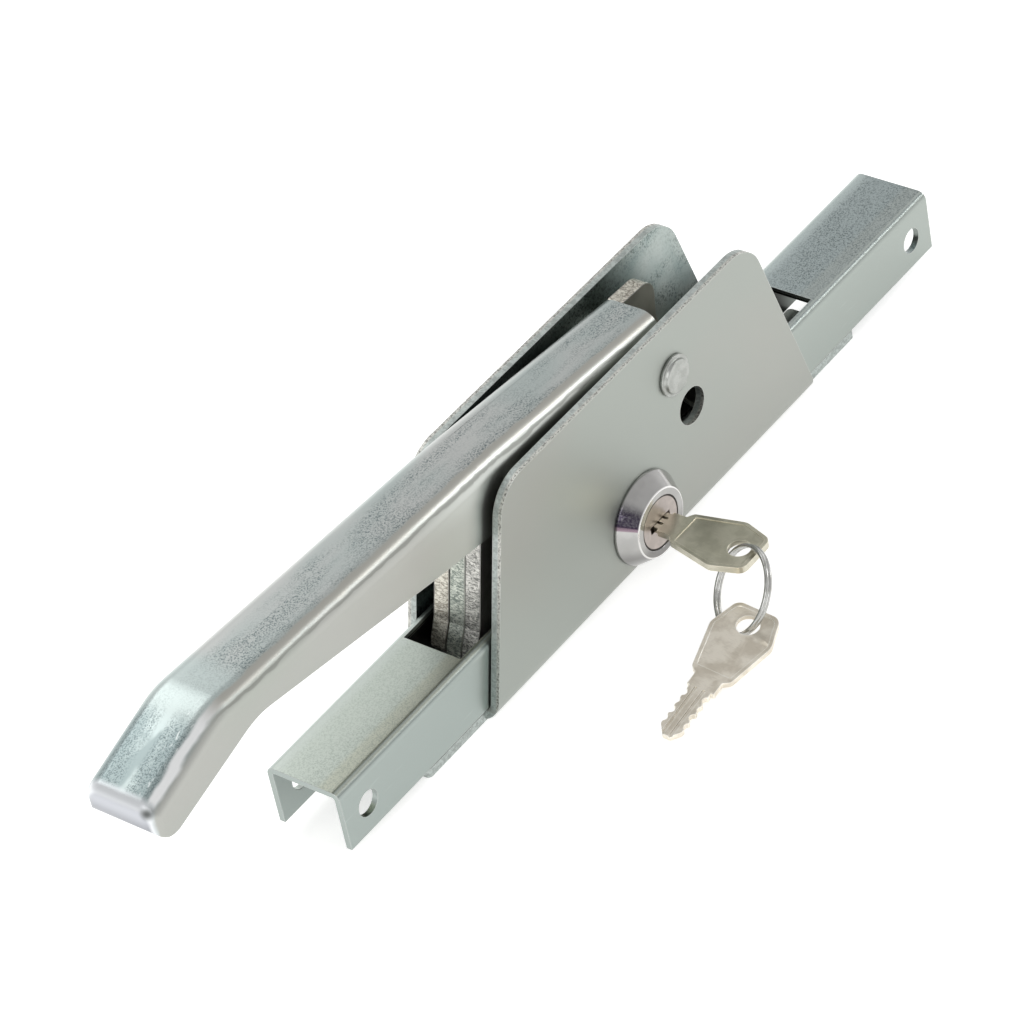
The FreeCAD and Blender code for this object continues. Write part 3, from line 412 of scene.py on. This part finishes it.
def plate_finish(node, light, dark, shift):
    """Plate with scaly sheared edges and painted shade along the edges that meet its neighbours."""
    s = Shader(node + "_zinc")
    low, high = PLATE_EDGES[node]
    face = s.clouds(tone(light, 0.62), tone(light, 0.80), 12 * MM, detail=2.0)
    streaks, height = sheared(s, light, dark, 2.4, 2.2, shift)
    cut = s.facing(s.ny, 0.75, 0.45)
    # painted shade in the gaps beside the neighbouring plates
    painted_rim = s.either(s.ramp(s.y, low + 0.4 * MM, low + 0.1 * MM),
                   s.ramp(s.y, high - 0.4 * MM, high - 0.1 * MM))
    color = s.coat(s.blend(cut, face, streaks), (0.03, 0.03, 0.03), painted_rim, cut, 0.85)
    grain = s.noise(0.5 * MM, detail=2.0, rough=0.6)
    return rolled(s, color, uneven(s, grain, 0.33, 0.06), grain, cut, height)


def turned_finish(name, light, dark, rough):
    """Turned or drawn metal with faint clouding and a painted highlight on its edges."""
    s = Shader(name)
    # painted highlight along the edges
    color = s.coat(s.clouds(dark, light, 3 * MM), tone(light, 1.5), s.edge(0.3 * MM), 0.4)
    grain = s.noise(0.4 * MM, detail=2.0)
    return s.metal(color, uneven(s, grain, rough, 0.05), s.bump(grain, 0.01 * MM, 0.3))


def round_lock(s):
    """Distance from the cylinder's axis, and angle round it."""
    across = s.math("SUBTRACT", s.x, LOCK_AXIS.x)
    up = s.math("SUBTRACT", s.z, LOCK_AXIS.z)
    out = s.math("SQRT", s.math("ADD", s.times(across, across), s.times(up, up)))
    return out, s.math("ARCTAN2", up, across)


def chrome_finish():
    """Chrome collar with a painted highlight on the rim, painted shade towards the bottom, and a painted
    dark reflection with a violet edge on a sector of the cone.
    """
    s = Shader("rosette_chrome")
    out, angle = round_lock(s)
    color = s.clouds((0.42, 0.415, 0.405), (0.47, 0.465, 0.455), 6 * MM, detail=2.0)
    # painted shade: the collar is darker towards the bottom
    color = s.coat(color, (0.25, 0.245, 0.24), s.ramp(s.z, LOCK_AXIS.z - 1 * MM, LOCK_AXIS.z - 7 * MM))
    on_cone = s.ramp(out, RIM_R + 0.1 * MM, RIM_R + 0.4 * MM)
    ragged = s.ramp(s.noise(0.6 * MM), 0.35, 0.6, 0.8, 1.0)
    # painted reflection: a dark sector of the cone with a violet edge
    violet_reflection_edge = s.between(angle, PAINTED_REFLECTION_END, PAINTED_REFLECTION_END + 0.08, 0.04)
    color = s.coat(color, (0.20, 0.12, 0.17), violet_reflection_edge, on_cone, 0.8)
    color = s.coat(color, (0.03, 0.022, 0.045), s.ramp(angle, PAINTED_REFLECTION_START, PAINTED_REFLECTION_START + 0.35),
                   s.ramp(angle, PAINTED_REFLECTION_END + 0.04, PAINTED_REFLECTION_END), ragged, on_cone, 0.96)
    # painted highlight along the outer edge of the flat rim
    painted_rim = s.between(out, RIM_R - 0.2 * MM, RIM_R + 0.1 * MM, 0.2 * MM)
    color = s.coat(color, (0.75, 0.74, 0.73), painted_rim)
    return s.metal(color, 0.13)


def plug_finish():
    """Turned nickel face with a dark joint against the collar."""
    s = Shader("plug_nickel")
    out, _ = round_lock(s)
    color = s.coat(s.clouds((0.42, 0.375, 0.35), (0.49, 0.435, 0.405), 3 * MM), (0.02, 0.018, 0.015),
                   s.ramp(out, PLUG_R - 0.50 * MM, PLUG_R - 0.35 * MM), s.facing(s.ny, 0.5, 0.8), 0.95)
    return s.metal(color, 0.32, s.bump(s.noise(0.4 * MM, detail=2.0), 0.01 * MM, 0.3))


def key_finish(name, light, dark, rough):
    """Worn nickel silver with brownish clouds and streaks, and a painted highlight on the edges and the
    raised border.
    """
    s = Shader(name)
    streak = s.ramp(s.noise(0.3 * MM, (1.0, 14.0, 1.0), detail=1.0), 0.55, 0.75, 0.0, 0.2)
    color = s.coat(s.clouds(dark, light, 5 * MM, warp=0.3), tone(dark, 0.7), streak)
    # painted highlight along the edges and the raised border
    color = s.coat(color, tone(light, 1.5), s.edge(0.45 * MM), 0.85)
    grain = s.noise(0.3 * MM, detail=2.0)
    return s.metal(color, uneven(s, grain, rough, 0.06), s.bump(grain, 0.012 * MM, 0.4))


def place_in_scene(name, data):
    placed = bpy.data.objects.new(name, data)
    bpy.context.scene.collection.objects.link(placed)
    return placed


def build_camera():
    """Camera whose axes are the photograph's right and up, made square."""
    data = bpy.data.cameras.new("photo_camera")
    data.lens = LENS
    data.sensor_width = SENSOR
    camera = place_in_scene("photo_camera", data)
    back = IMAGE_RIGHT.cross(IMAGE_UP).normalized()
    right = IMAGE_UP.cross(back).normalized()
    turn = Matrix((right, back.cross(right), back)).transposed()
    camera.matrix_world = Matrix.Translation(CAMERA_AT) @ turn.to_4x4()
    bpy.context.scene.camera = camera


def softbox(name, direction, distance, size, power):
    """Area lamp that looks at the middle of the lock from the given direction."""
    data = bpy.data.lights.new(name, "AREA")
    data.shape = "RECTANGLE"
    data.size, data.size_y = size
    data.energy = power
    lamp = place_in_scene(name, data)
    away = Vector(direction).normalized()
    lamp.location = away * distance
    lamp.rotation_euler = away.to_track_quat("Z", "Y").to_euler()


def build_world():
    """White behind the object; a plain level for light, and a greyer ceiling in reflections."""
    world = bpy.data.worlds.new("studio")
    bpy.context.scene.world = world
    w = Tree(world)
    path = w.node("ShaderNodeLightPath").outputs
    height = w.part(w.node("ShaderNodeTexCoord").outputs["Generated"], "Z")
    studio = w.white_light("ShaderNodeBackground", w.ramp(height, WALL_TOP, CEILING_START, 1.0, CEILING))
    lit = w.choose(path["Is Glossy Ray"], w.white_light("ShaderNodeBackground", AMBIENT), studio)
    seen = w.choose(path["Is Camera Ray"], lit, w.white_light("ShaderNodeBackground", 1.0))
    w.put(w.node("ShaderNodeOutputWorld").inputs["Surface"], seen)


def build_floor():
    """Pale floor with a soft shadow; to the camera and in reflections it is near white."""
    mesh = bpy.data.meshes.new("floor")
    h = FLOOR_HALF
    mesh.from_pydata([(-h, -h, 0), (h, -h, 0), (h, h, 0), (-h, h, 0)], [], [(0, 1, 2, 3)])
    floor = place_in_scene("floor", mesh)
    material = bpy.data.materials.new("white_sweep")
    w = Tree(material)
    diffuse = w.node("ShaderNodeBsdfDiffuse")
    w.put(diffuse.inputs["Color"], FLOOR_COLOR)
    path = w.node("ShaderNodeLightPath").outputs
    seen = w.either(path["Is Camera Ray"], path["Is Glossy Ray"])
    both = w.node("ShaderNodeAddShader")
    w.put(both.inputs[0], diffuse.outputs[0])
    w.put(both.inputs[1], w.white_light("ShaderNodeEmission", w.times(seen, FLOOR_GLOW)))
    w.put(w.node("ShaderNodeOutputMaterial").inputs["Surface"], both.outputs[0])
    mesh.materials.append(material)


def soften(node, width, material):
    """Stands a copy with rounded edges in for a node, so that its edges catch the light."""
    work = bmesh.new()
    work.from_mesh(frame["nodes"][node].data)
    bmesh.ops.remove_doubles(work, verts=work.verts, dist=SAME_POINT)
    bmesh.ops.dissolve_limit(work, angle_limit=FLAT, verts=work.verts, edges=work.edges)
    mesh = bpy.data.meshes.new(node + "_soft")
    work.to_mesh(mesh)
    work.free()
    mesh.materials.clear()
    mesh.materials.append(material)
    for face in mesh.polygons:
        face.material_index = 0
        face.use_smooth = True
    piece = place_in_scene(node + "_soft", mesh)
    bevel = piece.modifiers.new("edges", "BEVEL")
    bevel.width = width
    bevel.segments = EDGE_STEPS
    bevel.limit_method = "ANGLE"
    bevel.angle_limit = SHARP
    bevel.harden_normals = False
    mesh.set_sharp_from_angle(angle=SHARP)
    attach(piece, body_of(node))
    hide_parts(node)
    return piece


def body_of(node):
    return next(b for b, nodes in frame["record"]["behaviour"]["bodies"].items() if node in nodes)


def dress(node, material):
    """Gives a node its material."""
    slots = frame["nodes"][node].data.materials
    slots.clear()
    slots.append(material)


build_camera()
build_world()
build_floor()
for lamp in LAMPS:
    softbox(*lamp)

pin_steel = turned_finish("pin_steel", light=(0.42, 0.43, 0.41), dark=(0.34, 0.35, 0.33), rough=0.27)
FINISH = {
    "casing": casing_finish(),
    "handle": handle_finish(),
    "left_channel": channel_finish(
        "left_channel_zinc", web=(0.49, 0.54, 0.49), speckle=(0.24, 0.28, 0.25), cover=0.55,
        margin=(0.52, 0.57, 0.53), leg=(0.365, 0.41, 0.39), warm=(0.50, 0.50, 0.39)),
    "right_channel": channel_finish(
        "right_channel_zinc", web=(0.42, 0.48, 0.48), speckle=(0.15, 0.18, 0.18), cover=0.9,
        margin=(0.55, 0.62, 0.61), leg=(0.355, 0.39, 0.365), warm=(0.44, 0.47, 0.44)),
    "core_plate_rear": plate_finish(
        "core_plate_rear", light=(0.71, 0.69, 0.61), dark=(0.26, 0.24, 0.20), shift=0.0),
    "left_drive_plate": plate_finish(
        "left_drive_plate", light=(0.62, 0.65, 0.58), dark=(0.17, 0.20, 0.18), shift=3.0),
    "right_drive_plate": plate_finish(
        "right_drive_plate", light=(0.50, 0.53, 0.46), dark=(0.20, 0.22, 0.18), shift=5.0),
    "core_plate_front": plate_finish(
        "core_plate_front", light=(0.68, 0.67, 0.63), dark=(0.18, 0.18, 0.17), shift=7.0),
    "rosette": chrome_finish(),
    "plug": plug_finish(),
    "key": key_finish("key_nickel", light=(0.62, 0.59, 0.49), dark=(0.50, 0.475, 0.385), rough=0.28),
    "spare_key": key_finish(
        "spare_key_nickel", light=(0.84, 0.79, 0.69), dark=(0.64, 0.585, 0.49), rough=0.28),
    "key_ring": turned_finish("ring_steel", light=(0.55, 0.55, 0.54), dark=(0.42, 0.42, 0.40), rough=0.2),
}

for node in frame["nodes"]:
    dress(node, FINISH.get(node, pin_steel))

for width, nodes in ((SHEET_EDGE, ("casing", "left_channel", "right_channel", "handle", "core_plate_front",
                                   "core_plate_rear", "left_drive_plate", "right_drive_plate")),
                     (TURNED_EDGE, ("pivot_rivet", "rosette", "plug")),
                     (KEY_EDGE, ("key", "spare_key"))):
    for node in nodes:
        soften(node, width, FINISH.get(node, pin_steel))

bpy.context.scene.view_settings.view_transform = "Standard"
